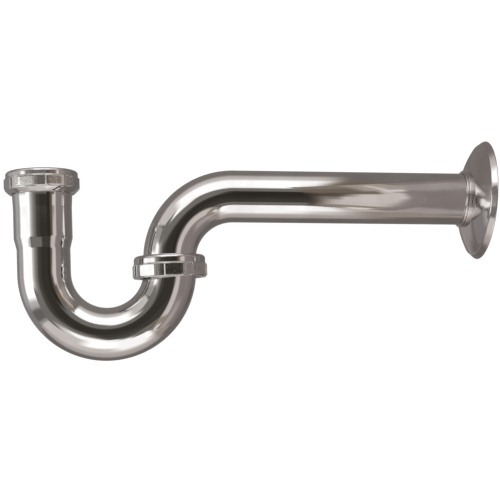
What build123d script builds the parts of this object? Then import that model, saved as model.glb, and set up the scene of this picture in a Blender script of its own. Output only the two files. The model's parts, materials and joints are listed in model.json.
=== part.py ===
from build123d import *
from math import ceil, cos, radians, sin, sqrt, tan
import os

os.makedirs("parts", exist_ok=True)

# Tubular brass P-trap for a wash basin, in millimetres and degrees.
# The basin's tailpiece drops into the belled inlet, water stands in the U of the J-bend, and the
# wall bend carries it along the arm to the drain in the wall. A slip nut closes each joint.
# Frame: the origin is the centre of the inlet mouth, +Z runs up the inlet axis, and +X runs towards
# the wall, so the axes of both legs, both nuts and the arm lie in the XZ plane.

# Tube: 1-1/2 in tubular brass, 17 gauge
tube_diameter = 38.1
tube_wall = 1.14

# J-bend
leg_spacing = 90.0  # inlet axis to outlet axis
inlet_leg_height = 67.0  # inlet mouth above the springing of the U
outlet_leg_height = 2.8  # outlet mouth above the springing of the U
slip_clearance = 0.75  # radial room for a tailpiece in the bell
bell_depth = 41.5  # straight part of the bell below the mouth
bell_taper = 7.8  # length over which the bell draws down to the tube
bell_round = 5.0  # rounding where the taper meets the bell and the tube
collar_swell = 0.45  # thickening of the bell under its thread
collar_full = 2.5  # height of its full part, below the thread
collar_length = 10.0  # height over which it runs out

# Wall bend and arm
wall_bend_radius = 46.4
lip_height = 0.4  # straight tube between the seat of the lip and the start of the bend
arm_fall = 2.4  # slope of the arm below level, 1/2 in to the foot
arm_length = 190.0  # from the end of the wall bend to the cut end
spigot_length = 14.0  # part of the arm that enters the drain fitting
mark_width = 1.0  # rolled ring that shows how deep the arm enters the fitting
mark_depth = 0.3

# Slip-joint thread, right-hand, 11-1/2 to the inch, 60 degree flanks
thread_pitch = 25.4 / 11.5
thread_crest = 0.35  # flat on top of the male ridge
thread_root = 0.4  # flat between its turns
thread_clearance = 0.22  # between the flanks, and between each crest and its root
flank_angle = 30.0
bite = 0.15  # depth by which a ridge grows out of its wall

# Ferrule brazed on the outlet of the J-bend
ferrule_length = 7.8
braze_gap = 0.05

# Seals
washer_height = 3.1  # inlet washer above the mouth
washer_nose = 3.0  # bevelled part of it inside the bell
nose_slope = 0.25  # how much the nose narrows
nose_clearance = 0.1  # nose to bell
washer_grip = 0.1  # radial room around the tailpiece before the nut is tightened
flat_washer_height = 2.5
ring_thickness = 0.8  # friction rings
ring_clearance = 0.35  # friction ring to tube
seal_clearance = 0.25  # seals to the crest of the nut's thread

# Slip nuts
nut_height = 16.2
nut_crown = 2.8  # wall above the seals
nut_wall = 3.5  # wall round the thread
nut_hole_clearance = 0.6  # hole in the crown to the tube
nut_shoulder = 4.0  # rounding of the crown
lug_count = 8
lug_width = 14.1
lug_rise = 0.5  # flat of a lug beyond the wall
lug_corner = 0.8
lug_sink = 2.5  # how deep a lug is rooted in the wall
lug_edge = 0.45
bead_height = 0.7  # bead round the nut above its lugs
bead_reach = 0.35
inlet_lug_band = (5.3, 3.5)  # lugs below the top of the nut and above its mouth
outlet_lug_band = (6.6, 0.8)
inlet_lug_turn = -18.0  # first lug from the front of the trap, turning towards the wall
outlet_lug_turn = 7.0
lip_chamfer = 2.9  # cone under the lugs of the inlet nut
lip_edge = 0.4  # chamfer at the mouth of a nut and at the ends of the threads

# Escutcheon, a spun bell with two beads round its collar
escutcheon_diameter = 87.8
escutcheon_wall = 0.8
escutcheon_depth = 13.9  # middle of the collar to the rim
escutcheon_setback = 19.3  # middle of the collar to the cut end of the arm
escutcheon_lean = 3.0  # the loose collar lets it lean, top towards the wall
collar_clearance = 0.5  # collar to tube
bead_pitch = 1.9
bead_rise = 0.75  # how far a bead stands out of the collar
foot_slope = 81.0  # face to axis where it leaves the collar
band_depth = 4.0  # rounded band between the line round the rim and the rim
band_rise = 2.9
band_slope = 50.0  # band to axis at the line
line_rise = 0.6  # step of the line
line_run = 0.2
spring_wire = 1.0
spring_clearance = 0.08  # wire to tube
groove_clearance = 0.06  # wire to its groove
spring_gap = 26.0  # opening of the split ring, in degrees

tube_radius = tube_diameter / 2
tube_bore = tube_radius - tube_wall
bell_bore = tube_radius + slip_clearance
bell_radius = bell_bore + tube_wall
seal_bore = tube_radius + washer_grip
u_radius = leg_spacing / 2
springing = -inlet_leg_height
outlet_mouth = springing + outlet_leg_height
lip_seat = outlet_mouth + flat_washer_height
bend_start = lip_seat + lip_height

flank_growth = 2 * tan(radians(flank_angle))  # widening of a ridge for each millimetre of depth
axial_clearance = 2 * thread_clearance / cos(radians(flank_angle))
thread_depth = (thread_pitch - thread_crest - thread_root) / flank_growth
thread_radius = bell_radius + thread_depth
nut_thread_crest = bell_radius + thread_clearance  # radius
nut_bore = thread_radius + thread_clearance
nut_radius = nut_bore + nut_wall
lug_flat = nut_radius + lug_rise
seal_radius = nut_thread_crest - seal_clearance
nut_engagement = nut_height - nut_crown - ring_thickness - washer_height  # nut below the mouth


def front_plane(axis_x):
    """Vertical plane through an upright axis, with the axis as its Y."""
    return Plane(origin=(axis_x, 0, 0), x_dir=(1, 0, 0), z_dir=(0, -1, 0))


def upright(axis_x):
    return Axis((axis_x, 0, 0), (0, 0, 1))


def arm_plane(station, lean=0.0):
    """Section plane of the arm at a distance from the wall bend, with X radial and up."""
    turn = radians(90 + arm_fall)
    bend_end = Vector(
        leg_spacing + wall_bend_radius * (1 - cos(turn)), 0, bend_start + wall_bend_radius * sin(turn)
    )
    along = Vector(sin(turn), 0, cos(turn))
    tilt = radians(arm_fall + lean)
    return Plane(
        origin=bend_end + along * station, x_dir=(sin(tilt), 0, cos(tilt)), z_dir=(cos(tilt), 0, -sin(tilt))
    )


def male_width(radius):
    """Width of the male ridge at a radius."""
    return thread_crest + (thread_radius - radius) * flank_growth


def thread_ridge(axis_x, foot, crest, foot_width, crest_width, bottom, top, datum):
    """A helical ridge between two heights. It crosses the +X side of its axis at the datum height."""
    turns_below = ceil((datum - bottom) / thread_pitch) + 1
    turns_above = ceil((top - datum) / thread_pitch) + 1
    start = datum - turns_below * thread_pitch
    middle = (foot + crest) / 2
    with BuildPart() as ridge:
        with BuildLine():
            Helix(
                pitch=thread_pitch,
                height=(turns_below + turns_above) * thread_pitch,
                radius=middle,
                center=(axis_x, 0, start),
            )
        with BuildSketch(front_plane(axis_x)):
            with BuildLine():
                Polyline(
                    (foot, start - foot_width / 2),
                    (crest, start - crest_width / 2),
                    (crest, start + crest_width / 2),
                    (foot, start + foot_width / 2),
                    close=True,
                )
            make_face()
        sweep(is_frenet=True)
        with BuildSketch(Plane((axis_x, 0, bottom))):
            Circle(nut_radius)
        extrude(amount=top - bottom, mode=Mode.INTERSECT)
    return ridge.part


def male_thread(axis_x, bottom, top, mouth):
    foot = bell_radius - bite
    return thread_ridge(
        axis_x, foot, thread_radius, male_width(foot), thread_crest, bottom, top, mouth
    )


def female_thread(axis_x, bottom, top, mouth):
    """The space left by the male ridge, less the clearance, half a pitch further on."""
    foot = nut_bore + bite
    return thread_ridge(
        axis_x,
        foot,
        nut_thread_crest,
        thread_pitch - male_width(foot) - axial_clearance,
        thread_pitch - male_width(nut_thread_crest) - axial_clearance,
        bottom,
        top,
        mouth + thread_pitch / 2,
    )


def slip_nut(axis_x, seat, mouth, lug_band, lug_turn, chamfer):
    """A nut whose crown rests on a seat height, and whose thread fits the mouth below it."""
    top = seat + nut_crown
    bottom = top - nut_height
    lug_top = top - lug_band[0]
    lug_bottom = bottom + lug_band[1]
    lug_length = lug_rise + lug_sink
    hole = tube_radius + nut_hole_clearance
    with BuildPart() as nut:
        with BuildSketch(front_plane(axis_x)):
            with BuildLine():
                Polyline(
                    (nut_bore + lip_edge, bottom),
                    (lug_flat - chamfer, bottom),
                    (lug_flat, bottom + chamfer),
                    (lug_flat, lug_bottom),
                    (nut_radius, lug_bottom),
                    (nut_radius, lug_top - lug_edge),
                    (nut_radius + bead_reach, lug_top),
                    (nut_radius + bead_reach, lug_top + bead_height / 2),
                    (nut_radius, lug_top + bead_height),
                    (nut_radius, top - nut_shoulder),
                )
                RadiusArc((nut_radius, top - nut_shoulder), (nut_radius - nut_shoulder, top), -nut_shoulder)
                Polyline(
                    (nut_radius - nut_shoulder, top),
                    (hole, top),
                    (hole, seat),
                    (nut_bore, seat),
                    (nut_bore, bottom + lip_edge),
                    (nut_bore + lip_edge, bottom),
                )
            make_face()
        revolve(axis=upright(axis_x))
        for number in range(lug_count):
            angle = lug_turn - 90 + number * 360 / lug_count
            side = Vector(cos(radians(angle)), sin(radians(angle)), 0)
            middle = Vector(axis_x, 0, lug_bottom) + side * (lug_flat - lug_length / 2)
            with BuildSketch(Plane(origin=middle, x_dir=side, z_dir=(0, 0, 1))):
                RectangleRounded(lug_length, lug_width, lug_corner)
            extrude(amount=lug_top - lug_bottom)
        add(female_thread(axis_x, bottom + lip_edge, mouth, mouth))
    return nut.part


# The tube of the J-bend: belled inlet leg, U, outlet leg, with the inlet thread rolled in the bell
inlet_thread = male_thread(0, -nut_engagement, -lip_edge, 0)
with BuildPart() as j_bend:
    with BuildSketch(front_plane(0)) as inlet_wall:
        with BuildLine():
            Polyline(
                (bell_bore, 0),
                (bell_radius, 0),
                (bell_radius, -nut_engagement),
                (bell_radius + collar_swell, -nut_engagement - collar_swell),
                (bell_radius + collar_swell, -nut_engagement - collar_full),
                (bell_radius, -nut_engagement - collar_length),
                (bell_radius, -bell_depth),
                (tube_radius, -bell_depth - bell_taper),
                (tube_radius, springing),
                (tube_bore, springing),
                (tube_bore, -bell_depth - bell_taper),
                (bell_bore, -bell_depth),
                close=True,
            )
        make_face()
        step_corners = [
            corner
            for corner in inlet_wall.vertices()
            if -bell_depth - bell_taper - lip_edge < corner.Z < -bell_depth + lip_edge
        ]
        fillet(step_corners, bell_round)
    revolve(axis=upright(0))
    with BuildSketch(Plane((0, 0, springing))):
        Circle(tube_radius)
        Circle(tube_bore, mode=Mode.SUBTRACT)
    revolve(axis=Axis((u_radius, 0, springing), (0, -1, 0)), revolution_arc=180)
    with BuildSketch(Plane((leg_spacing, 0, springing))):
        Circle(tube_radius)
        Circle(tube_bore, mode=Mode.SUBTRACT)
    extrude(amount=outlet_leg_height)
    add(inlet_thread)
j_bend.part.label = "j_bend"
export_step(j_bend.part, "parts/j_bend.step")

# Threaded ring on the outlet leg, relieved below where the tube starts to turn
ferrule_bottom = outlet_mouth - ferrule_length
inner_side = u_radius - tube_radius
turned = inner_side - sqrt(inner_side**2 - (springing - ferrule_bottom) ** 2)
ferrule_thread = male_thread(leg_spacing, ferrule_bottom, outlet_mouth - lip_edge, outlet_mouth)
with BuildPart() as outlet_ferrule:
    with BuildSketch(Plane((leg_spacing, 0, ferrule_bottom))):
        Circle(bell_radius)
        Circle(tube_radius + turned + braze_gap, mode=Mode.SUBTRACT)
    extrude(amount=springing - ferrule_bottom)
    with BuildSketch(Plane((leg_spacing, 0, springing))):
        Circle(bell_radius)
        Circle(tube_radius + braze_gap, mode=Mode.SUBTRACT)
    extrude(amount=outlet_leg_height)
    add(ferrule_thread)
outlet_ferrule.part.label = "outlet_ferrule"
export_step(outlet_ferrule.part, "parts/outlet_ferrule.step")

# Bevelled rubber washer: a flat collar on the mouth of the bell and a nose inside it
with BuildPart() as inlet_washer:
    with BuildSketch(front_plane(0)):
        with BuildLine():
            Polyline(
                (seal_bore, -washer_nose),
                (bell_bore - nose_clearance - nose_slope, -washer_nose),
                (bell_bore - nose_clearance, 0),
                (seal_radius, 0),
                (seal_radius, washer_height),
                (seal_bore, washer_height),
                close=True,
            )
        make_face()
    revolve(axis=upright(0))
inlet_washer.part.label = "inlet_washer"
export_step(inlet_washer.part, "parts/inlet_washer.step")


def flat_ring(axis_x, bore, bottom, height):
    with BuildPart() as ring:
        with BuildSketch(Plane((axis_x, 0, bottom))):
            Circle(seal_radius)
            Circle(bore, mode=Mode.SUBTRACT)
        extrude(amount=height)
    return ring.part


with BuildPart() as inlet_friction_ring:
    add(flat_ring(0, tube_radius + ring_clearance, washer_height, ring_thickness))
inlet_friction_ring.part.label = "inlet_friction_ring"
export_step(inlet_friction_ring.part, "parts/inlet_friction_ring.step")

with BuildPart() as outlet_washer:
    add(flat_ring(leg_spacing, tube_bore, outlet_mouth, flat_washer_height))
outlet_washer.part.label = "outlet_washer"
export_step(outlet_washer.part, "parts/outlet_washer.step")

with BuildPart() as outlet_friction_ring:
    add(flat_ring(leg_spacing, tube_radius + ring_clearance, lip_seat + tube_wall, ring_thickness))
outlet_friction_ring.part.label = "outlet_friction_ring"
export_step(outlet_friction_ring.part, "parts/outlet_friction_ring.step")

inlet_nut_seat = washer_height + ring_thickness
with BuildPart() as inlet_slip_nut:
    add(slip_nut(0, inlet_nut_seat, 0, inlet_lug_band, inlet_lug_turn, lip_chamfer))
inlet_slip_nut.part.label = "inlet_slip_nut"
export_step(inlet_slip_nut.part, "parts/inlet_slip_nut.step")

outlet_nut_seat = lip_seat + tube_wall + ring_thickness
with BuildPart() as outlet_slip_nut:
    add(slip_nut(leg_spacing, outlet_nut_seat, outlet_mouth, outlet_lug_band, outlet_lug_turn, lip_edge))
outlet_slip_nut.part.label = "outlet_slip_nut"
export_step(outlet_slip_nut.part, "parts/outlet_slip_nut.step")

# Wall bend: a lip under the nut, the bend, and the long arm
with BuildPart() as wall_bend:
    with BuildSketch(Plane((leg_spacing, 0, lip_seat))):
        Circle(seal_radius)
        Circle(tube_bore, mode=Mode.SUBTRACT)
    extrude(amount=tube_wall)
    with BuildSketch(Plane((leg_spacing, 0, lip_seat))):
        Circle(tube_radius)
        Circle(tube_bore, mode=Mode.SUBTRACT)
    extrude(amount=lip_height)
    with BuildSketch(Plane((leg_spacing, 0, bend_start))):
        Circle(tube_radius)
        Circle(tube_bore, mode=Mode.SUBTRACT)
    revolve(
        axis=Axis((leg_spacing + wall_bend_radius, 0, bend_start), (0, 1, 0)), revolution_arc=90 + arm_fall
    )
    with BuildSketch(arm_plane(0)):
        Circle(tube_radius)
        Circle(tube_bore, mode=Mode.SUBTRACT)
    extrude(amount=arm_length)
    with BuildSketch(arm_plane(arm_length - spigot_length - mark_width)):
        Circle(tube_radius + mark_depth)
        Circle(tube_radius - mark_depth, mode=Mode.SUBTRACT)
    extrude(amount=mark_width, mode=Mode.SUBTRACT)
wall_bend.part.label = "wall_bend"
export_step(wall_bend.part, "parts/wall_bend.step")

# Escutcheon: a collar with two beads, a flaring face, a fine line and a rounded rim
escutcheon_radius = escutcheon_diameter / 2
collar_bore = tube_radius + collar_clearance
collar_radius = collar_bore + escutcheon_wall
collar_middle = arm_plane(arm_length - escutcheon_setback, escutcheon_lean)
escutcheon_axis = Axis(collar_middle.origin, collar_middle.z_dir)
bell_section = Plane(origin=collar_middle.origin, x_dir=collar_middle.z_dir, z_dir=(0, -1, 0))
line_outer = (escutcheon_depth - band_depth, escutcheon_radius - band_rise)
line_inner = (line_outer[0] - line_run, line_outer[1] - line_rise)
face_start = (cos(radians(foot_slope)), sin(radians(foot_slope)))
shell_foot = (bead_pitch + escutcheon_wall * face_start[1], collar_radius - escutcheon_wall * face_start[0])
spring_radius = tube_radius / cos(radians(escutcheon_lean)) + spring_clearance + spring_wire / 2
spring_seat = (bead_pitch / 2, spring_radius)

with BuildPart() as escutcheon:
    with BuildSketch(bell_section):
        with BuildLine():
            TangentArc((bead_pitch, collar_radius), line_inner, tangent=face_start)
            Line(line_inner, line_outer)
            TangentArc(
                line_outer,
                (escutcheon_depth, escutcheon_radius),
                tangent=(cos(radians(band_slope)), sin(radians(band_slope))),
            )
            offset(amount=escutcheon_wall, side=Side.RIGHT)
        make_face()
    revolve(axis=escutcheon_axis)
    with BuildSketch(bell_section):
        with BuildLine():
            Polyline(
                (-bead_pitch, collar_radius),
                (-bead_pitch, collar_bore),
                (shell_foot[0], collar_bore),
                shell_foot,
                (bead_pitch, collar_radius),
            )
            for start in (-bead_pitch, 0):
                ThreePointArc(
                    (start, collar_radius),
                    (start + bead_pitch / 2, collar_radius + bead_rise),
                    (start + bead_pitch, collar_radius),
                )
        make_face()
    revolve(axis=escutcheon_axis)
    with BuildSketch(bell_section):
        with Locations(spring_seat):
            Circle(spring_wire / 2 + groove_clearance)
    revolve(axis=escutcheon_axis, mode=Mode.SUBTRACT)
    with BuildSketch(collar_middle.offset(escutcheon_depth)):
        Circle(escutcheon_radius + escutcheon_wall)
    extrude(amount=escutcheon_wall, mode=Mode.SUBTRACT)
escutcheon.part.label = "escutcheon"
export_step(escutcheon.part, "parts/escutcheon.step")

# Split ring of spring wire that grips the arm inside the collar
spring_end = Vector(0, -1, 0).rotate(Axis((0, 0, 0), collar_middle.z_dir), spring_gap / 2)
spring_section = Plane(origin=collar_middle.origin, x_dir=collar_middle.z_dir, z_dir=spring_end)
with BuildPart() as escutcheon_spring:
    with BuildSketch(spring_section):
        with Locations(spring_seat):
            Circle(spring_wire / 2)
    revolve(axis=escutcheon_axis, revolution_arc=360 - spring_gap)
escutcheon_spring.part.label = "escutcheon_spring"
export_step(escutcheon_spring.part, "parts/escutcheon_spring.step")
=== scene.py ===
import json
from math import acos, asin, atan2, cos, hypot, pi, radians, sin, sqrt, tan

import bpy
import numpy as np
from mathutils import Matrix, Vector


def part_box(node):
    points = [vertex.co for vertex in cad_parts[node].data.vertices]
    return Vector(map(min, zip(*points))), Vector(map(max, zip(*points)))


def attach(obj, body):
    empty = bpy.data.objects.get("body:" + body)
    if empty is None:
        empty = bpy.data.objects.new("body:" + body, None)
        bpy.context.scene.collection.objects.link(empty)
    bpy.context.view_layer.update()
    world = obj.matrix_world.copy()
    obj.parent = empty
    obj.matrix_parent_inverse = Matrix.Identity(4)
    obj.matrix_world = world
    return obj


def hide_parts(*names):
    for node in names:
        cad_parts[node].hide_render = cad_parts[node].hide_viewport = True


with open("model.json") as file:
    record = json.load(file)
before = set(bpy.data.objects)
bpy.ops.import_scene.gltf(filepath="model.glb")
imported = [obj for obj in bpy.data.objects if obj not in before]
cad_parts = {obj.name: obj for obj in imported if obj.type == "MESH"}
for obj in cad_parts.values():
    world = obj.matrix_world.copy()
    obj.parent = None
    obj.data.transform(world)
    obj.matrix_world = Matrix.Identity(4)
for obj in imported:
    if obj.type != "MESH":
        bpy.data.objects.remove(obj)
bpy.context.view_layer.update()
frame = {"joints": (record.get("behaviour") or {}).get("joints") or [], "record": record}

mm = 0.001
scene = bpy.context.scene
scene.view_settings.view_transform = "Standard"
scene.view_settings.look = "None"


joints = {joint["name"]: joint for joint in frame["joints"]}
mounts = {mount["name"]: mount for mount in frame["record"]["mounts"]}


def top(node):
    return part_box(node)[1].z


def bottom(node):
    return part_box(node)[0].z


tubeRadius = mounts["wall_drain_spigot"]["dims"]["r_mm"] * mm
outletX = joints["wall_bend_swivel"]["pos_m"][0]
uRadius = outletX / 2
springing = bottom("j_bend") + uRadius + tubeRadius
outletMouth = joints["outlet_nut_spin"]["pos_m"][2]
lipSeat = bottom("wall_bend")
armAlong = Vector(mounts["wall_drain_spigot"]["axis"])
armEnd = Vector(mounts["wall_drain_spigot"]["pos_m"]) + armAlong * (
    mounts["wall_drain_spigot"]["dims"]["length_mm"] * mm / 2
)
collarMiddle = Vector(joints["escutcheon_turn"]["pos_m"])
collarAlong = Vector(joints["escutcheon_turn"]["axis"])

tube = {
    "wall": 1.14 * mm,
    "lipHeight": 0.4 * mm,  # straight tube above the flared lip
    "markDepth": 0.3 * mm,  # rolled ring on the arm
    "markWidth": 1.0 * mm,
    "around": 144,
    "bendStep": radians(2.0),
}
bell = {
    "slip": 0.75 * mm,  # room for the tailpiece
    "depth": 41.5 * mm,
    "taper": 7.8 * mm,
    "round": 5.0 * mm,
    "edge": 0.3 * mm,
    "swell": 0.45 * mm,
    "swellFull": 2.5 * mm,
    "swellLength": 10.0 * mm,
    "threadLength": 9.5 * mm,
}
thread = {
    "pitch": 25.4 / 11.5 * mm,
    "crest": 0.35 * mm,
    "root": 0.4 * mm,
    "clearance": 0.22 * mm,
    "growth": 2 * tan(radians(30)),
    "steps": 10,  # rows to a turn
    "fade": 0.9 * mm,
}
tubeBore = tubeRadius - tube["wall"]
bellBore = tubeRadius + bell["slip"]
bellRadius = bellBore + tube["wall"]
threadDepth = (thread["pitch"] - thread["crest"] - thread["root"]) / thread["growth"]
threadRadius = bellRadius + threadDepth
nutCrest = bellRadius + thread["clearance"]
nutBore = threadRadius + thread["clearance"]
bendRadius = top("wall_bend") - lipSeat - tube["lipHeight"] - tubeRadius


cameraSet = {
    "aim": (0.1489, 0.0, -0.0547),
    "distance": 0.8,
    "turn": -4.78,  # from straight on, in degrees
    "rise": -4.47,
    "roll": -2.31,
    "lens": 78.84,
}


def makeCamera():
    turn, rise, roll = (radians(cameraSet[key]) for key in ("turn", "rise", "roll"))
    back = Vector((sin(turn) * cos(rise), -cos(turn) * cos(rise), sin(rise)))
    right = Vector((cos(turn), sin(turn), 0))
    up = back.cross(right)
    rolledRight = right * cos(roll) + up * sin(roll)
    rolledUp = up * cos(roll) - right * sin(roll)
    data = bpy.data.cameras.new("camera")
    data.lens = cameraSet["lens"]
    data.sensor_width = 36
    data.clip_start = 0.01
    camera = bpy.data.objects.new("camera", data)
    scene.collection.objects.link(camera)
    axes = Matrix((rolledRight, rolledUp, back)).transposed().to_4x4()
    place = Vector(cameraSet["aim"]) + back * cameraSet["distance"]
    camera.matrix_world = Matrix.Translation(place) @ axes
    scene.camera = camera


makeCamera()
print("camera placed")


class Port:  # a socket that takes arithmetic, one Math node for each operator
    def __init__(self, finish, socket):
        self.finish = finish
        self.socket = socket

    def math(self, operation, first, second):
        return self.finish.add("Math", {"operation": operation}, {0: first, 1: second})

    def __add__(self, other):
        return self.math("ADD", self, other)

    def __sub__(self, other):
        return self.math("SUBTRACT", self, other)

    def __rsub__(self, other):
        return self.math("SUBTRACT", other, self)

    def __mul__(self, other):
        return self.math("MULTIPLY", self, other)

    __radd__ = __add__
    __rmul__ = __mul__


class Finish:  # a material and its node tree
    def __init__(self, name):
        self.material = bpy.data.materials.new(name)
        self.material.use_nodes = True
        self.tree = self.material.node_tree
        self.tree.nodes.clear()

    def add(self, kind, settings=None, sockets=None, out=0):
        node = self.tree.nodes.new("ShaderNode" + kind)
        for name, value in (settings or {}).items():
            if name == "stops":  # (place, brightness) pairs
                ramp = node.color_ramp
                while len(ramp.elements) < len(value):
                    ramp.elements.new(0.5)
                for element, (place, level) in zip(ramp.elements, value):
                    element.position = place
                    element.color = (level, level, level, 1)
            else:
                setattr(node, name, value)
        for name, value in (sockets or {}).items():
            if isinstance(value, Port):
                self.tree.links.new(value.socket, node.inputs[name])
            else:
                node.inputs[name].default_value = value
        return Port(self, node.outputs[out]) if node.outputs else None

    def place(self, stretch=(1, 1, 1), uv=False):  # the piece's own coordinates, in metres
        point = self.add("TexCoord", out=2 if uv else 3)
        return self.add("VectorMath", {"operation": "MULTIPLY"}, {0: point, 1: stretch})

    def noise(self, point, scale, detail):
        return self.add("TexNoise", None, {"Vector": point, "Scale": scale, "Detail": detail})

    def ramp(self, value, *stops):
        return self.add("ValToRGB", {"stops": stops}, {"Fac": value})

    def blend(self, mask, first, second):
        return self.add(
            "Mix", {"data_type": "RGBA"}, {"Factor": mask, 6: (*first, 1), 7: (*second, 1)}, out=2
        )

    def bump(self, height, depth):
        return self.add("Bump", None, {"Height": height, "Distance": depth, "Strength": 1.0})

    def end(self, **sockets):
        values = {name.replace("_", " "): value for name, value in sockets.items()}
        shader = self.add("BsdfPrincipled", None, values)
        self.add("OutputMaterial", None, {"Surface": shader})
        return self.material


# an open outline through (a, b, radius) corners, each inner corner turned by an arc
def rounded(corners, step=radians(9)):
    points = [np.array(corners[0][:2], float)]
    for before, corner, after in zip(corners, corners[1:], corners[2:]):
        here = np.array(corner[:2], float)
        back = np.array(before[:2], float) - here
        ahead = np.array(after[:2], float) - here
        backLength, aheadLength = np.linalg.norm(back), np.linalg.norm(ahead)
        back, ahead = back / backLength, ahead / aheadLength
        half = acos(max(-1.0, min(1.0, float(back @ ahead)))) / 2
        radius = min(corner[2], 0.49 * min(backLength, aheadLength) * tan(half))
        if radius < 1e-7 or half > radians(89):
            points.append(here)
            continue
        middle = (back + ahead) / np.linalg.norm(back + ahead)
        centre = here + middle * radius / sin(half)
        start = here + back * radius / tan(half) - centre
        finish = here + ahead * radius / tan(half) - centre
        first = atan2(start[1], start[0])
        sweep = (atan2(finish[1], finish[0]) - first + pi) % (2 * pi) - pi
        count = max(2, int(abs(sweep) / step))
        for number in range(count + 1):
            angle = first + sweep * number / count
            points.append(centre + radius * np.array((cos(angle), sin(angle))))
    points.append(np.array(corners[-1][:2], float))
    return points


def divided(points, longest):  # the same outline with no longer step than this
    result = [points[0]]
    for start, finish in zip(points, points[1:]):
        count = max(1, int(np.ceil(np.linalg.norm(finish - start) / longest)))
        for number in range(1, count + 1):
            result.append(start + (finish - start) * number / count)
    return result


def circleAngles(count):
    return np.arange(count) * 2 * pi / count


def ring(centre, outward, side, radius, angles):
    outward, side = np.array(outward), np.array(side)
    radius = np.broadcast_to(radius, angles.shape)[:, None]
    spokes = np.cos(angles)[:, None] * outward + np.sin(angles)[:, None] * side
    return np.array(centre) + radius * spokes


def upright(axisX, z, radius, angles):
    return ring((axisX, 0, z), (1, 0, 0), (0, 1, 0), radius, angles)


# a surface through closed rings, and round again to the first ring unless it is left open
def shell(name, rings, body, finish, nodes, closed=True, marked=None):
    grid = np.array(rings)
    rows, count = grid.shape[:2]
    last = rows if closed else rows - 1
    row, column = np.meshgrid(np.arange(last), np.arange(count), indexing="ij")
    above, beside = (row + 1) % rows, (column + 1) % count
    faces = np.stack(
        (row * count + column, row * count + beside, above * count + beside, above * count + column), -1
    ).reshape(-1, 4)
    mesh = bpy.data.meshes.new(name)
    mesh.from_pydata(grid.reshape(-1, 3).tolist(), [], faces.tolist())
    steps = np.linalg.norm(np.roll(grid, -1, axis=0) - grid, axis=2).mean(axis=1)
    along = np.concatenate(([0], np.cumsum(steps)))
    steps = np.linalg.norm(np.roll(grid[0], -1, axis=0) - grid[0], axis=1)
    around = np.concatenate(([0], np.cumsum(steps)))
    uv = np.stack(
        (
            np.stack((around[column], around[column + 1], around[column + 1], around[column]), -1),
            np.stack((along[row], along[row], along[row + 1], along[row + 1]), -1),
        ),
        -1,
    )
    layer = mesh.uv_layers.new(name="lengths")
    layer.data.foreach_set("uv", uv.astype(np.float32).ravel())
    mesh.validate()
    mesh.polygons.foreach_set("use_smooth", np.ones(len(mesh.polygons), bool))
    if marked is not None:  # one value for each ring, for the finish to read
        mark = mesh.attributes.new("marked", "FLOAT", "POINT")
        mark.data.foreach_set("value", np.repeat(marked, count).astype(np.float32))
    mesh.update()
    piece = bpy.data.objects.new(name, mesh)
    scene.collection.objects.link(piece)
    turnOutward(mesh)
    mesh.materials.append(finish)
    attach(piece, body)
    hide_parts(*nodes)
    return piece


def turnOutward(mesh):  # the closed surface's volume is positive when its faces point out
    count = len(mesh.vertices)
    points = np.zeros(count * 3)
    mesh.vertices.foreach_get("co", points)
    points = points.reshape(-1, 3)
    mesh.calc_loop_triangles()
    corners = np.zeros(len(mesh.loop_triangles) * 3, np.int32)
    mesh.loop_triangles.foreach_get("vertices", corners)
    a, b, c = (points[corners.reshape(-1, 3)[:, k]] for k in range(3))
    if np.einsum("ij,ij->i", a, np.cross(b, c)).sum() < 0:
        mesh.flip_normals()


# height above or below the middle of the nearest turn of a right-hand ridge
def coil(z, angles, datum):
    height = z - datum - thread["pitch"] * angles / (2 * pi)
    return (height + thread["pitch"] / 2) % thread["pitch"] - thread["pitch"] / 2


def maleRadius(z, angles, datum, low, high):
    offset = np.abs(coil(z, angles, datum))
    radius = threadRadius - (2 * offset - thread["crest"]) / thread["growth"]
    fade = min(1.0, max(0.0, (z - low) / thread["fade"]), max(0.0, (high - z) / thread["fade"]))
    return bellRadius + fade * (np.clip(radius, bellRadius, threadRadius) - bellRadius)


def femaleRadius(z, angles, datum, low, high):
    offset = np.abs(coil(z, angles, datum + thread["pitch"] / 2))
    axial = 2 * thread["clearance"] / cos(radians(30))
    width = thread["pitch"] - thread["crest"] - axial
    radius = threadRadius - (width - 2 * offset) / thread["growth"]
    fade = min(1.0, max(0.0, (z - low) / thread["fade"]), max(0.0, (high - z) / thread["fade"]))
    return nutBore - fade * (nutBore - np.clip(radius, nutCrest, nutBore))


def threadRows(low, high):
    count = int((high - low) / thread["pitch"] * thread["steps"])
    return np.linspace(low, high, count + 1)


tubeFinish = {
    "colour": (0.80, 0.795, 0.79),
    "hazed": (0.70, 0.69, 0.68),
    "gloss": 0.035,
    "haze": 0.07,
    "waveDepth": 0.010 * mm,
}
castFinish = {
    "colour": (0.79, 0.785, 0.78),
    "hazed": (0.68, 0.67, 0.66),
    "gloss": 0.05,
    "haze": 0.08,
    "waveDepth": 0.10 * mm,
}


def makeTubeChrome():
    finish = Finish("chromedTube")
    point = finish.place()
    cloud = finish.ramp(finish.noise(point, 45, 4), (0.42, 0), (0.72, 1))
    lines = finish.noise(finish.place((60, 900, 1), uv=True), 4, 2)  # buffing runs round the tube
    fine = finish.noise(point, 900, 2)
    waves = finish.noise(point, 55, 1)
    colour = finish.blend(cloud, tubeFinish["colour"], tubeFinish["hazed"])
    rough = tubeFinish["gloss"] + cloud * tubeFinish["haze"] * lines + fine * 0.015
    normal = finish.bump(waves + lines * 0.02 + fine * 0.01, tubeFinish["waveDepth"])
    return finish.end(Base_Color=colour, Metallic=1.0, Roughness=rough, Normal=normal)


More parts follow.
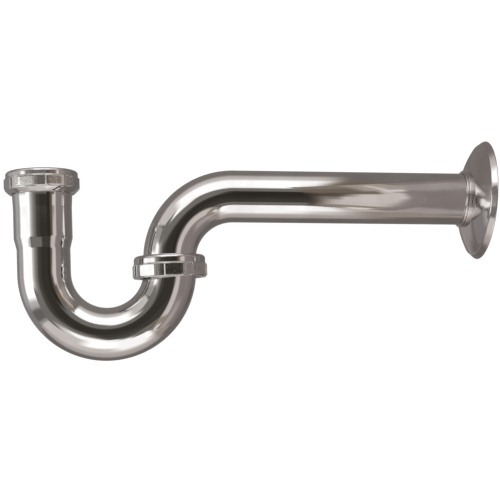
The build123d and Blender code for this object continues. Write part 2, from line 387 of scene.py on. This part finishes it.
def makeCastChrome():
    finish = Finish("chromedCasting")
    point = finish.place()
    lug = finish.add("Attribute", {"attribute_name": "marked"}, out=2)  # 1 on the as-cast lugs
    cloud = finish.ramp(finish.noise(point, 160, 4), (0.45, 0), (0.7, 1))
    waves = finish.noise(point, 240, 2)
    pits = finish.ramp(finish.noise(point, 1100, 3), (0.52, 0), (0.70, 1))
    colour = finish.blend(cloud, castFinish["colour"], castFinish["hazed"])
    rough = castFinish["gloss"] + cloud * castFinish["haze"] + lug * (0.05 + pits * 0.12)
    height = waves * 0.5 + lug * (finish.noise(point, 620, 3) * 0.55 - pits * 0.22)
    normal = finish.bump(height, castFinish["waveDepth"])
    return finish.end(Base_Color=colour, Metallic=1.0, Roughness=rough, Normal=normal)


def makeSpunChrome():
    finish = Finish("chromedSpinning")
    point = finish.place()
    cloud = finish.ramp(finish.noise(point, 60, 4), (0.42, 0), (0.72, 1))
    lines = finish.noise(finish.place((8, 2600, 1), uv=True), 4, 2)  # rings left by the roller
    waves = finish.noise(point, 70, 1)
    colour = finish.blend(cloud, (0.80, 0.765, 0.765), (0.70, 0.66, 0.66))
    rough = 0.06 + cloud * 0.05 + lines * 0.05
    normal = finish.bump(waves + lines * 0.03, 0.012 * mm)
    return finish.end(Base_Color=colour, Metallic=1.0, Roughness=rough, Normal=normal)


def makeBrass():
    finish = Finish("machinedBrass")
    point = finish.place()
    stain = finish.ramp(finish.noise(point, 150, 4), (0.4, 0), (0.7, 1))
    lines = finish.noise(finish.place((20, 6000, 1), uv=True), 3, 2)
    colour = finish.blend(stain, (0.80, 0.62, 0.30), (0.55, 0.38, 0.18))
    rough = 0.22 + stain * 0.2 + lines * 0.1
    normal = finish.bump(lines, 0.01 * mm)
    return finish.end(Base_Color=colour, Metallic=1.0, Roughness=rough, Normal=normal)


def makeRubber():
    finish = Finish("sealRubber")
    point = finish.place()
    dust = finish.ramp(finish.noise(point, 300, 5), (0.5, 0), (0.75, 1))
    grain = finish.noise(point, 3000, 2)
    colour = finish.blend(dust, (0.028, 0.028, 0.03), (0.075, 0.07, 0.065))
    normal = finish.bump(grain, 0.02 * mm)
    return finish.end(Base_Color=colour, Roughness=0.6 + dust * 0.25, Normal=normal)


def makeSlipRing():
    finish = Finish("naturalNylon")
    point = finish.place()
    cloud = finish.noise(point, 120, 4)
    grain = finish.noise(point, 2500, 2)
    colour = finish.blend(cloud, (0.86, 0.85, 0.80), (0.74, 0.72, 0.66))
    normal = finish.bump(grain, 0.008 * mm)
    return finish.end(Base_Color=colour, Roughness=0.38 + grain * 0.15, Normal=normal)


def makeSpringSteel():
    finish = Finish("springSteel")
    point = finish.place()
    draw = finish.noise(finish.place((9000, 60, 1), uv=True), 3, 2)  # marks along the wire
    stain = finish.noise(point, 250, 3)
    colour = finish.blend(stain, (0.60, 0.60, 0.61), (0.42, 0.41, 0.40))
    rough = 0.25 + draw * 0.2
    normal = finish.bump(draw, 0.008 * mm)
    return finish.end(Base_Color=colour, Metallic=1.0, Roughness=rough, Normal=normal)


tubeChrome, castChrome, spunChrome = makeTubeChrome(), makeCastChrome(), makeSpunChrome()
brass, rubber, slipRing, springSteel = makeBrass(), makeRubber(), makeSlipRing(), makeSpringSteel()
print("finishes made")


# rings round an arc in the XZ plane, from one angle to another
def bentRings(centre, bend, first, last, radius, angles):
    count = max(1, round(abs(last - first) / tube["bendStep"]))
    rings = []
    for number in range(count + 1):
        angle = first + (last - first) * number / count
        outward = (cos(angle), 0, sin(angle))
        middle = (centre[0] + bend * outward[0], 0, centre[1] + bend * outward[2])
        rings.append(ring(middle, outward, (0, 1, 0), radius, angles))
    return rings


def makeJBend():
    angles = circleAngles(tube["around"])
    turned = pi - angles  # the bend's rings start on its outer side, which is -X of the inlet
    threadEnd = -bell["threadLength"]
    swell = bellRadius + bell["swell"]
    bellEnd = -bell["depth"] - bell["taper"]
    edge = bell["edge"]
    low = -2 * edge
    lead = rounded([(bellBore, low, 0), (bellBore, 0, edge), (bellRadius, 0, edge), (bellRadius, low, 0)])
    rings = [upright(0, z, r, turned) for r, z in lead]
    for z in threadRows(threadEnd, low)[::-1][1:-1]:
        rings.append(upright(0, z, maleRadius(z, turned, 0, threadEnd, 0), turned))
    outer = rounded(
        [
            (bellRadius, threadEnd, 0),
            (swell, threadEnd - bell["swell"], 0.4 * mm),
            (swell, threadEnd - bell["swellFull"], 8 * mm),
            (bellRadius, threadEnd - bell["swellLength"], 20 * mm),
            (bellRadius, -bell["depth"], bell["round"]),
            (tubeRadius, bellEnd, bell["round"]),
            (tubeRadius, springing, 0),
        ],
        radians(2.5),
    )
    rings += [upright(0, z, r, turned) for r, z in divided(outer, 4 * mm)[:-1]]
    centre = (uRadius, springing)
    rings += bentRings(centre, uRadius, pi, 2 * pi, tubeRadius, angles)
    mouth = rounded(
        [
            (tubeRadius, springing, 0),
            (tubeRadius, outletMouth, edge),
            (tubeBore, outletMouth, edge),
            (tubeBore, springing, 0),
        ]
    )
    rings += [upright(outletX, z, r, angles) for r, z in mouth[1:-1]]
    rings += bentRings(centre, uRadius, 2 * pi, pi, tubeBore, angles)
    inner = rounded(
        [
            (tubeBore, springing, 0),
            (tubeBore, bellEnd, bell["round"]),
            (bellBore, -bell["depth"], bell["round"]),
            (bellBore, low, 0),
        ],
        radians(4),
    )
    rings += [upright(0, z, r, turned) for r, z in divided(inner, 8 * mm)[1:-1]]
    shell("jBendTube", rings, "j_bend", tubeChrome, ["j_bend"])


makeJBend()
print("J-bend made")


def makeWallBend():
    angles = circleAngles(tube["around"])
    turned = pi - angles
    bendStart = lipSeat + tube["lipHeight"]
    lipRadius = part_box("outlet_washer")[1].x - outletX
    lip = rounded(
        [
            (tubeBore, bendStart, 0),
            (tubeBore, lipSeat, 0.5 * mm),
            (lipRadius, lipSeat, 0.35 * mm),
            (lipRadius, lipSeat + tube["wall"], 0.35 * mm),
            (tubeRadius, lipSeat + tube["wall"], 0.4 * mm),
        ]
    )
    rings = [upright(outletX, z, r, turned) for r, z in lip[:-1]]
    fall = atan2(-armAlong.z, armAlong.x)
    centre = (outletX + bendRadius, bendStart)
    bendEnd = Vector((centre[0] + bendRadius * sin(fall), 0, centre[1] + bendRadius * cos(fall)))
    outward = (sin(fall), 0, cos(fall))
    start = pi - asin((lip[-1][1] + 0.25 * mm - bendStart) / (bendRadius + tubeRadius))
    rings += bentRings(centre, bendRadius, start, pi / 2 - fall, tubeRadius, angles)
    length = (armEnd - bendEnd).length
    spigot = mounts["wall_drain_spigot"]["dims"]["length_mm"] * mm
    mark = length - spigot - tube["markWidth"]
    markEnd = mark + tube["markWidth"]
    groove = tubeRadius - tube["markDepth"]
    arm = rounded(
        [
            (0, tubeRadius, 0),
            (mark - 0.15 * mm, tubeRadius, 0.2 * mm),
            (mark + 0.2 * mm, groove, 0.25 * mm),
            (markEnd - 0.2 * mm, groove, 0.25 * mm),
            (markEnd + 0.15 * mm, tubeRadius, 0.2 * mm),
            (length, tubeRadius, 0.35 * mm),
            (length, tubeBore, 0.2 * mm),
            (0, tubeBore, 0),
        ]
    )
    for s, r in divided(arm, 6 * mm)[1:-1]:
        rings.append(ring(bendEnd + armAlong * s, outward, (0, 1, 0), r, angles))
    rings += bentRings(centre, bendRadius, pi / 2 - fall, pi, tubeBore, angles)
    shell("wallBendTube", rings, "wall_bend", tubeChrome, ["wall_bend"])


makeWallBend()
print("wall bend made")


nut = {
    "wall": 3.5 * mm,
    "crown": 2.8 * mm,
    "holeClearance": 0.6 * mm,
    "shoulder": 4.0 * mm,
    "lugs": 8,
    "lugWidth": 14.1 * mm,
    "lugRise": 0.5 * mm,
    "lugCorner": 0.8 * mm,
    "lugFoot": 0.35 * mm,  # casting radius where a lug meets the wall
    "lugEdge": 0.45 * mm,
    "beadHeight": 0.7 * mm,
    "beadReach": 0.35 * mm,
    "mouthEdge": 0.4 * mm,
    "seatEdge": 0.2 * mm,
}
inletNut = {"above": 5.3 * mm, "below": 3.5 * mm, "turn": -18.0, "chamfer": 2.9 * mm}
outletNut = {"above": 6.6 * mm, "below": 0.8 * mm, "turn": 7.0, "chamfer": 0.4 * mm}


# polar angles and radii of the wall with its lugs, counted round from +X
def lugOutline(turn):
    wall = nutBore + nut["wall"]
    flat = wall + nut["lugRise"]
    half = nut["lugWidth"] / 2
    foot = sqrt(wall**2 - half**2)
    gapAngle = asin(half / wall)
    pitch = 2 * pi / nut["lugs"]
    gap = [(wall * cos(a), wall * sin(a), 0) for a in np.linspace(pitch / 2, gapAngle + 0.03, 6)]
    corners = gap + [
        (foot, half, nut["lugFoot"]),
        (flat, half, nut["lugCorner"]),
        (flat, half * 0.55, 0),
        (flat, 0, 0),
    ]
    side = rounded(corners, radians(16))
    upper = [(atan2(p[1], p[0]), hypot(p[0], p[1])) for p in side]
    lug = [(-a, r) for a, r in upper[1:]] + [(a, r) for a, r in reversed(upper[:-1])]
    angles, radii = [], []
    for number in range(nut["lugs"]):
        for angle, radius in sorted(lug):
            angles.append(radians(turn) - pi / 2 + number * pitch + angle)
            radii.append(radius)
    return np.array(angles), np.array(radii)


# (wall radius, height, share of the lug outline) down the outside of a nut
def nutRows(high, low, size):
    wall = nutBore + nut["wall"]
    flat = wall + nut["lugRise"]
    lugTop = high - size["above"]
    lugLow = low + size["below"]
    edge = nut["lugEdge"]
    hole = tubeRadius + nut["holeClearance"]
    bead = wall + nut["beadReach"]
    crown = rounded(
        [
            (hole, high - nut["crown"], 0),
            (hole, high, 0.4 * mm),
            (wall, high, nut["shoulder"]),
            (wall, lugTop + nut["beadHeight"], 0.2 * mm),
            (bead, lugTop + nut["beadHeight"] * 0.8, 0.2 * mm),
            (bead, lugTop, 0),
        ],
        radians(6),
    )
    rows = [(r, z, 0.0) for r, z in crown]
    turns = np.linspace(0, pi / 2, 7)
    for a in turns[1:]:  # over the top edge of the lugs
        rows.append((bead + (wall - bead) * sin(a), lugTop - edge * (1 - cos(a)), sin(a)))
    rows += [(wall, z, 1.0) for z in np.linspace(lugTop - edge, lugLow + edge, 8)[1:-1]]
    rim = flat if size["chamfer"] > edge else wall
    for a in turns:  # and under the low one
        rows.append((rim + (wall - rim) * cos(a), lugLow + edge * (1 - sin(a)), cos(a)))
    lip = rounded(
        [
            (rim, lugLow, 0),
            (flat, low + size["chamfer"], 0.5 * mm),
            (flat - size["chamfer"], low, 0.3 * mm),
            (nutBore + nut["mouthEdge"], low, 0.15 * mm),
            (nutBore, low + nut["mouthEdge"], 0),
        ]
    )
    rows += [(r, z, 0.0) for r, z in lip[1:]]
    return rows


def makeNut(name, node, body, axisX, mouth, size):
    high, low = top(node), bottom(node)
    angles, radii = lugOutline(size["turn"])
    rows = nutRows(high, low, size)
    rings = [upright(axisX, z, (1 - share) * r + share * radii, angles) for r, z, share in rows]
    marked = [1.0 if share > 0.95 else 0.0 for r, z, share in rows]
    seat = high - nut["crown"]
    start = low + nut["mouthEdge"]
    for z in threadRows(start, mouth)[1:]:
        rings.append(upright(axisX, z, femaleRadius(z, angles, mouth, start, mouth), angles))
    rings.append(upright(axisX, seat - nut["seatEdge"], nutBore, angles))
    rings.append(upright(axisX, seat, nutBore - nut["seatEdge"], angles))
    marked += [0.0] * (len(rings) - len(rows))
    shell(name, rings, body, castChrome, [node], marked=marked)


makeNut("inletNut", "inlet_slip_nut", "inlet_nut", 0, 0, inletNut)
makeNut("outletNut", "outlet_slip_nut", "outlet_nut", outletX, outletMouth, outletNut)
print("nuts made")


seals = {
    "edge": 0.25 * mm,
    "around": 96,
    "washerGrip": 0.1 * mm,
    "noseClearance": 0.1 * mm,
    "noseSlope": 0.25 * mm,
    "ringClearance": 0.35 * mm,
}
ferrule = {"braze": 0.05 * mm}  # joint between the ring and the tube


def lathe(name, axisX, corners, body, finish, node):
    closed = corners + corners[:2]
    points = rounded(closed, radians(18))[1:-1]
    angles = circleAngles(seals["around"])
    rings = [upright(axisX, z, r, angles) for r, z in points]
    shell(name, rings, body, finish, [node])


def flatRing(name, node, body, axisX, finish):
    low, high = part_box(node)
    outer = high.x - axisX
    bore = tubeBore if node == "outlet_washer" else tubeRadius + seals["ringClearance"]
    edge = seals["edge"]
    corners = [(bore, low.z, edge), (outer, low.z, edge), (outer, high.z, edge), (bore, high.z, edge)]
    lathe(name, axisX, corners, body, finish, node)


def makeInletWasher():
    low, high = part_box("inlet_washer")
    edge = seals["edge"]
    bore = tubeRadius + seals["washerGrip"]
    nose = bellBore - seals["noseClearance"]
    corners = [
        (bore, low.z, edge),
        (nose - seals["noseSlope"], low.z, edge),
        (nose, 0, edge),
        (high.x, 0, edge),
        (high.x, high.z, edge),
        (bore, high.z, edge),
    ]
    lathe("inletWasher", 0, corners, "j_bend", rubber, "inlet_washer")


def makeFerrule():
    low = bottom("outlet_ferrule")
    angles = circleAngles(tube["around"])
    inner = uRadius - tubeRadius
    relief = tubeRadius + inner - sqrt(inner**2 - (springing - low) ** 2) + ferrule["braze"]
    bore = tubeRadius + ferrule["braze"]
    rings = []
    for z in threadRows(low, outletMouth):
        radius = maleRadius(z, angles, outletMouth, low, outletMouth)
        rings.append(upright(outletX, z, radius, angles))
    for r, z in ((bore, outletMouth), (bore, springing), (relief, springing), (relief, low)):
        rings.append(upright(outletX, z, r, angles))
    shell("outletFerrule", rings, "j_bend", brass, ["outlet_ferrule"])


makeInletWasher()
makeFerrule()
flatRing("outletWasher", "outlet_washer", "j_bend", outletX, rubber)
flatRing("inletFrictionRing", "inlet_friction_ring", "inlet_ring", 0, slipRing)
flatRing("outletFrictionRing", "outlet_friction_ring", "union_ring", outletX, slipRing)
print("seals made")


flange = {
    "radius": 43.9 * mm,
    "wall": 0.8 * mm,
    "depth": 13.9 * mm,
    "collarClearance": 0.5 * mm,
    "beadPitch": 1.9 * mm,
    "beadRise": 0.75 * mm,
    "footSlope": radians(81),
    "bandDepth": 4.0 * mm,
    "bandRise": 2.9 * mm,
    "hem": 0.5 * mm,
    "lineRise": 0.6 * mm,
    "lineRun": 0.2 * mm,
    "around": 192,
}
spring = {"wire": 1.0 * mm, "clearance": 0.08 * mm, "gap": radians(26), "along": 120, "around": 16}


def tangentArc(start, finish, slope, count):  # leaves start at a slope and reaches finish
    start, finish = np.array(start), np.array(finish)
    chord = finish - start
    bend = atan2(chord[1], chord[0]) - slope
    if abs(bend) < 1e-4:
        return [start + chord * t for t in np.linspace(0, 1, count)]
    radius = np.linalg.norm(chord) / (2 * sin(bend))
    centre = start + radius * np.array((-sin(slope), cos(slope)))
    return [
        centre + radius * np.array((sin(slope + 2 * bend * t), -cos(slope + 2 * bend * t)))
        for t in np.linspace(0, 1, count)
    ]


def makeEscutcheon():
    collar = tubeRadius + flange["collarClearance"] + flange["wall"]
    bore = collar - flange["wall"]
    pitch, rise = flange["beadPitch"], flange["beadRise"]
    outer = (flange["depth"] - flange["bandDepth"], flange["radius"] - flange["bandRise"])
    inner = (outer[0] - flange["lineRun"], outer[1] - flange["lineRise"])
    outline = [np.array((-pitch, bore)), np.array((-pitch, collar - 0.15 * mm))]
    for start in (-pitch, 0):
        half = pitch / 2
        radius = (half**2 + rise**2) / (2 * rise)
        spread = asin(half / radius)
        for angle in np.linspace(-spread, spread, 11):
            height = collar + rise - radius * (1 - cos(angle))
            outline.append(np.array((start + half + radius * sin(angle), height)))
    face = tangentArc((pitch, collar), inner, flange["footSlope"], 40)
    past = (outer[0] + 0.8 * mm, outer[1] + 0.95 * mm, 0)  # a point on the band
    step = rounded([(*face[-2], 0), (*face[-1], 0.12 * mm), (*outer, 0.15 * mm), past])
    rim = np.array((flange["depth"], flange["radius"]))
    turn = rim - np.array((flange["hem"], flange["hem"] * 0.45))
    band = [np.array(outer) + (turn - outer) * share for share in np.linspace(0, 1, 20)] + [rim]
    outline += face[1:-1] + step[1:-1] + band[3:]
    skin = band[::-1] + face[::-1]
    inside = []
    for before, here, after in zip(skin, skin[1:], skin[2:]):
        along = (after - before) / np.linalg.norm(after - before)
        inside.append(here + flange["wall"] * np.array((-along[1], along[0])))
    inside = [p for p in inside if p[0] < flange["depth"] and p[1] > collar]
    outline.append(np.array((flange["depth"], flange["radius"] - flange["wall"] * 1.2)))
    outline += inside
    outline.append(np.array((pitch + flange["wall"], bore)))
    across = collarAlong.cross(Vector((0, 1, 0)))
    angles = circleAngles(flange["around"])
    rings = [ring(collarMiddle + collarAlong * s, across, (0, 1, 0), r, angles) for s, r in outline]
    shell("escutcheonShell", rings, "escutcheon", spunChrome, ["escutcheon"])


makeEscutcheon()


def makeSpring():
    lean = acos(min(1.0, collarAlong.dot(armAlong)))
    radius = tubeRadius / cos(lean) + spring["clearance"] + spring["wire"] / 2
    middle = collarMiddle + collarAlong * flange["beadPitch"] / 2
    across = np.array(collarAlong.cross(Vector((0, 1, 0))))
    wire = circleAngles(spring["around"])
    thick = spring["wire"] / 2
    rings = []
    begin, end = -pi / 2 + spring["gap"] / 2, 3 * pi / 2 - spring["gap"] / 2
    for angle in np.linspace(begin, end, spring["along"]):
        outward = cos(angle) * across + sin(angle) * np.array((0, 1, 0))
        centre = np.array(middle) + radius * outward
        rings.append(ring(centre, outward, collarAlong, thick, wire))
    tips = []
    for end in (0, -1):
        direction = rings[end] - rings[end - 1 if end else 1]
        push = direction.mean(axis=0)
        push = push / np.linalg.norm(push)
        centre = rings[end].mean(axis=0)
        dome = []
        for turn in np.linspace(0, pi / 2, 5)[1:]:
            small = (rings[end] - centre) * max(cos(turn), 0.02)
            dome.append(centre + small + push * thick * sin(turn) * 0.5)
        tips.append(dome)
    rings = tips[0][::-1] + rings + tips[1]
    shell(
        "gripSpring", rings, "escutcheon_grip", springSteel, ["escutcheon_spring"],
        closed=False,
    )


makeSpring()
print("escutcheon made")


studio = {
    "mirror": 0.79,  # share of light the chrome returns
    "room": 100,
    "roomHue": (5, -3),
    "grid": 0.012,
    "floorSize": 12,
    "floorDrop": 0.01,
    "domeRadius": 10,
    "white": 1.05,
}
ceiling, ground = 0.26, -0.39
left, right, front, back = -0.425, 0.42, -0.383, 0.70
# corners, axes of the soft boxes, level, red and blue over green, then the soft boxes, each with
# two limits on each axis, a soft edge for each axis, a level and sometimes its own colour
cards = {
    "frontCard": (
        [(left, front, ground), (0.24, front, ground), (0.24, front, ceiling), (left, front, ceiling)],
        (0, 2),
        108,
        (3, -4.5),
        [
            (-0.60, -0.27, -0.115, 0.09, 0.22, 0.05, 198),
            (-0.60, -0.375, -0.12, 0.11, 0.05, 0.04, 256),
            (-0.17, 0.00, -0.70, -0.225, 0.04, 0.03, 145),
            (-0.24, 0.00, -0.70, -0.275, 0.10, 0.05, 200),
            (-0.14, 0.00, -0.70, -0.262, 0.06, 0.04, 256),
            (-0.06, 0.07, -0.70, -0.30, 0.04, 0.03, 256),
            (0.02, 0.14, -0.70, -0.335, 0.04, 0.03, 235),
            (-0.15, 0.02, 0.16, 0.60, 0.05, 0.04, 252),
            (-0.05, 0.40, 0.205, 0.60, 0.05, 0.03, 252),
            (-0.14, 0.50, -0.165, 0.035, 0.09, 0.045, 62),
            (-0.04, 0.50, -0.14, 0.025, 0.06, 0.05, 49),
            (0.15, 0.50, -0.05, 0.09, 0.03, 0.02, 42),
            (0.00, 0.50, -0.24, -0.13, 0.05, 0.03, 58),
            (0.02, 0.13, -0.28, -0.20, 0.03, 0.03, 70),
        ],
    ),
    "leftCard": (
        [(left, 0.09, ground), (left, front, ground), (left, front, ceiling), (left, 0.09, ceiling)],
        (1, 2),
        146,
        (2, -1.5),
        [
            (-0.60, 0.05, -0.26, 0.14, 0.06, 0.08, 172),
            (-0.60, 0.20, -0.36, -0.265, 0.06, 0.03, 98),
            (-0.60, 0.00, -0.20, 0.045, 0.04, 0.05, 262),
            (-0.60, -0.24, -0.10, 0.12, 0.04, 0.04, 256),
        ],
    ),
    "backLeftCard": (
        [(-0.311, back, ground), (left, 0.09, ground), (left, 0.09, ceiling), (-0.311, back, ceiling)],
        (1, 2),
        120,
        (4, 0),
        [(-0.20, 0.24, -0.23, 0.12, 0.20, 0.10, 162)],
    ),
    "backCard": (
        [(back, back, ground), (-0.311, back, ground), (-0.311, back, ceiling), (back, back, ceiling)],
        (0, 2),
        104,
        (4.5, -1.7),
        [(-0.20, 0.28, -0.20, 0.18, 0.15, 0.15, 136)],
    ),
    "backRightCard": (
        [(0.40, 0.13, ground), (back, back, ground), (back, back, ceiling), (0.40, 0.13, ceiling)],
        (1, 2),
        99,
        (6, -2.3),
        [(0.00, 0.60, -0.25, -0.14, 0.1, 0.06, 86)],
    ),
    "sideCard": (
        [(0.40, 0.02, ground), (0.40, 0.13, ground), (0.40, 0.13, ceiling), (0.40, 0.02, ceiling)],
        (1, 2),
        112,
        (7, -2),
        [],
    ),
    "mauveCard": (
        [(0.316, -0.175, ground), (0.40, 0.02, ground), (0.40, 0.02, ceiling), (0.316, -0.175, ceiling)],
        (1, 2),
        121,
        (9, -1.7),
        [(-0.30, -0.07, 0.06, 0.19, 0.05, 0.06, 146), (-0.30, -0.07, -0.60, -0.19, 0.06, 0.08, 153)],
    ),
    "rightCard": (
        [(0.24, front, ground), (0.316, -0.175, ground), (0.316, -0.175, ceiling), (0.24, front, ceiling)],
        (1, 2),
        119,
        (8.5, -4.5),
        [
            (-0.21, 0.00, -0.60, 0.30, 0.012, 0.05, 126, 9, -2),
            (-0.345, -0.222, -0.27, -0.10, 0.05, 0.06, 187),
            (-0.30, -0.222, -0.36, -0.025, 0.05, 0.06, 187),
            (-0.32, -0.220, -0.14, 0.12, 0.012, 0.02, 190),
            (-0.30, -0.211, -0.10, 0.10, 0.010, 0.02, 190),
            (-0.28, -0.202, -0.06, 0.04, 0.010, 0.02, 190),
            (-0.50, -0.236, 0.02, 0.16, 0.014, 0.02, 102, 12, -12),
            (-0.36, -0.205, -0.32, -0.255, 0.02, 0.02, 132, 12, -12),
            (-0.28, -0.230, -0.60, -0.335, 0.01, 0.02, 212),
            (-0.265, 0.00, 0.08, 0.60, 0.03, 0.04, 152, 10, -9),
            (-0.230, -0.212, 0.06, 0.22, 0.008, 0.02, 200),
            (-0.222, -0.193, 0.06, 0.095, 0.008, 0.012, 203),
            (-0.50, -0.30, -0.03, 0.055, 0.05, 0.04, 78, 9, -9),
            (-0.50, -0.368, -0.36, 0.07, 0.04, 0.05, 54, 7, -8),
        ],
    ),
    "ceilingCard": (
        [(left, front, ceiling), (right, front, ceiling), (back, back, ceiling), (left, back, ceiling)],
        (0, 1),
        111,
        (6, -2.5),
        [
            (-0.40, 0.275, -0.60, 0.02, 0.07, 0.11, 188),
            (-0.13, 0.275, -0.60, -0.105, 0.08, 0.09, 262),
            (0.27, 0.90, -0.60, 0.90, 0.02, 0.10, 108),
            (0.27, 0.90, -0.60, -0.13, 0.02, 0.05, 104, 15, -15),
            (-0.60, -0.37, -0.60, -0.26, 0.03, 0.05, 100),
        ],
    ),
    "tableCard": (
        [(left, back, ground), (back, back, ground), (right, front, ground), (left, front, ground)],
        (0, 1),
        98,
        (6.5, -3),
        [
            (-0.60, 0.30, -0.60, 0.15, 0.10, 0.14, 162),
            (-0.60, 0.28, -0.60, -0.005, 0.08, 0.10, 190),
            (-0.09, 0.27, -0.60, -0.135, 0.09, 0.07, 262),
            (0.06, 0.23, -0.60, -0.05, 0.08, 0.09, 245),
            (0.28, 0.90, -0.60, 0.05, 0.05, 0.05, 138, 10, -9),
            (0.27, 0.90, -0.60, -0.15, 0.03, 0.07, 178, 9, -7),
        ],
    ),
}


def levelLight(level, hue):  # light that the chrome shows at this display level
    level = np.asarray(level, float)
    fade = np.clip((255 - level) / 60, 0, 1)
    green = level - fade * (0.3 * hue[0] + 0.11 * hue[1])
    shown = np.stack((green + fade * hue[0], green, green + fade * hue[1]), -1) / 255
    light = ((shown + 0.055) / 1.055) ** 2.4 / studio["mirror"]
    return np.concatenate((light, np.ones((len(level), 1))), -1)


def feather(value):
    value = np.clip(value + 0.5, 0, 1)
    return value * value * (3 - 2 * value)


def lightMaterial():
    finish = Finish("studioLight")
    tone = finish.add("Attribute", {"attribute_name": "tone"}, out=0)
    light = finish.add("Emission", None, {"Color": tone, "Strength": 1.0})
    finish.add("OutputMaterial", None, {"Surface": light})
    return finish.material


def makeCard(name, corners, axes, level, hue, boxes, finish):
    corners = np.array(corners)
    sides = np.linalg.norm(corners[1] - corners[0]), np.linalg.norm(corners[3] - corners[0])
    columns, rows = (max(2, int(side / studio["grid"])) for side in sides)
    u, v = np.meshgrid(np.linspace(0, 1, columns + 1), np.linspace(0, 1, rows + 1))
    u, v = u.reshape(-1, 1), v.reshape(-1, 1)
    low = (1 - u) * corners[0] + u * corners[1]
    high = (1 - u) * corners[3] + u * corners[2]
    points = (1 - v) * low + v * high
    a, b = points[:, axes[0]], points[:, axes[1]]
    levels = np.full(len(points), float(level))
    hues = np.tile(np.array(hue, float), (len(points), 1))
    for a0, a1, b0, b1, softA, softB, inner, *other in boxes:
        share = feather((a - a0) / softA) * feather((a1 - a) / softA)
        share = share * feather((b - b0) / softB) * feather((b1 - b) / softB)
        levels = levels + (inner - levels) * share
        hues = hues + (np.array(other or hue) - hues) * share[:, None]
    wide = columns + 1
    faces = [
        (r * wide + c, r * wide + c + 1, (r + 1) * wide + c + 1, (r + 1) * wide + c)
        for r in range(rows)
        for c in range(columns)
    ]
    mesh = bpy.data.meshes.new(name)
    mesh.from_pydata(points.tolist(), [], faces)
    layer = mesh.color_attributes.new("tone", "FLOAT_COLOR", "POINT")
    layer.data.foreach_set("color", levelLight(levels, hues.T).astype(np.float32).ravel())
    mesh.materials.append(finish)
    piece = bpy.data.objects.new(name, mesh)
    scene.collection.objects.link(piece)
    piece.visible_camera = False
    piece.visible_shadow = False


def makeStudio():
    finish = lightMaterial()
    for name, (corners, axes, level, hue, boxes) in cards.items():
        makeCard(name, corners, axes, level, hue, boxes, finish)
    world = bpy.data.worlds.new("room")
    scene.world = world
    world.use_nodes = True
    background = world.node_tree.nodes["Background"]
    background.inputs["Color"].default_value = levelLight([studio["room"]], studio["roomHue"])[0]


def makeBackdrop():
    finish = Finish("paleFloor")
    point = finish.place()
    grain = finish.noise(point, 6, 4)
    colour = finish.blend(grain, (0.92, 0.92, 0.92), (0.88, 0.88, 0.88))
    white = (1, 1, 1, 1)
    material = finish.end(
        Base_Color=colour, Roughness=0.9, Emission_Color=white, Emission_Strength=studio["white"]
    )
    mesh = bpy.data.meshes.new("floor")
    size = studio["floorSize"]
    ends = ((-size, -size), (size, -size), (size, size), (-size, size))
    mesh.from_pydata([(x, y, ground - studio["floorDrop"]) for x, y in ends], [], [(0, 1, 2, 3)])
    mesh.materials.append(material)
    floor = bpy.data.objects.new("floor", mesh)
    scene.collection.objects.link(floor)
    dome = Finish("backdropWhite")
    light = dome.add("Emission", None, {"Color": white, "Strength": studio["white"]})
    dome.add("OutputMaterial", None, {"Surface": light})
    bpy.ops.mesh.primitive_uv_sphere_add(segments=32, ring_count=16, radius=studio["domeRadius"])
    backdrop = bpy.context.object
    backdrop.name = "backdrop"
    backdrop.data.materials.append(dome.material)
    for piece in (floor, backdrop):
        piece.visible_glossy = False
        piece.visible_transmission = False
        piece.visible_shadow = False
    backdrop.visible_diffuse = False


makeStudio()
makeBackdrop()
print("studio made")
